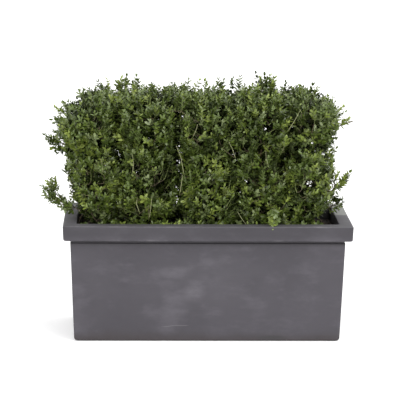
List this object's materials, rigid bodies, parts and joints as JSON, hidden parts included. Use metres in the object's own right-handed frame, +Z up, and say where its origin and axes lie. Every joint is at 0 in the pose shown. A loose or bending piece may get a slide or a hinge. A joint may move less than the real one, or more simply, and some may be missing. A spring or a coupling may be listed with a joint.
{
  "type": "potted boxwood hedge",
  "caption": "Clipped boxwood hedge in a long rectangular trough planter: masses of small leaves on short stems and boughs, with an overhanging rim band round the pot.",
  "frame": {"origin": "centre of the planter's flat underside, which stands on the ground", "axes": "+X along the trough, -Y towards the front, +Z up"},
  "size_m": [1.0962, 0.42, 0.9128],
  "materials": {
    "planter": "matte",
    "soil": "matte",
    "bark": "matte",
    "leaves": "satin"
  },
  "bodies": {
    "root": {"left_inner_low_back_bough": "bark", "left_inner_low_back_mass": "leaves", "left_inner_low_front_bough": "bark", "left_inner_low_front_mass": "leaves", "left_inner_top_bough": "bark", "left_inner_top_mass": "leaves", "left_low_spray_mass": "leaves", "left_low_spray_twig": "bark", "left_outer_low_back_bough": "bark", "left_outer_low_back_mass": "leaves", "left_outer_low_front_bough": "bark", "left_outer_low_front_mass": "leaves", "left_outer_top_bough": "bark", "left_outer_top_mass": "leaves", "left_stem": "bark", "left_upper_spray_mass": "leaves", "left_upper_spray_twig": "bark", "planter": "planter", "right_foot_spray_mass": "leaves", "right_foot_spray_twig": "bark", "right_inner_low_back_bough": "bark", "right_inner_low_back_mass": "leaves", "right_inner_low_front_bough": "bark", "right_inner_low_front_mass": "leaves", "right_inner_top_bough": "bark", "right_inner_top_mass": "leaves", "right_low_spray_mass": "leaves", "right_low_spray_twig": "bark", "right_middle_low_back_bough": "bark", "right_middle_low_back_mass": "leaves", "right_middle_low_front_bough": "bark", "right_middle_low_front_mass": "leaves", "right_middle_top_bough": "bark", "right_middle_top_mass": "leaves", "right_outer_low_back_bough": "bark", "right_outer_low_back_mass": "leaves", "right_outer_low_front_bough": "bark", "right_outer_low_front_mass": "leaves", "right_outer_top_bough": "bark", "right_outer_top_mass": "leaves", "right_stem": "bark", "right_upper_spray_mass": "leaves", "right_upper_spray_twig": "bark", "soil": "soil", "top_left_tuft_mass": "leaves", "top_left_tuft_twig": "bark", "top_right_tuft_mass": "leaves", "top_right_tuft_twig": "bark"}
  },
  "joints": []
}
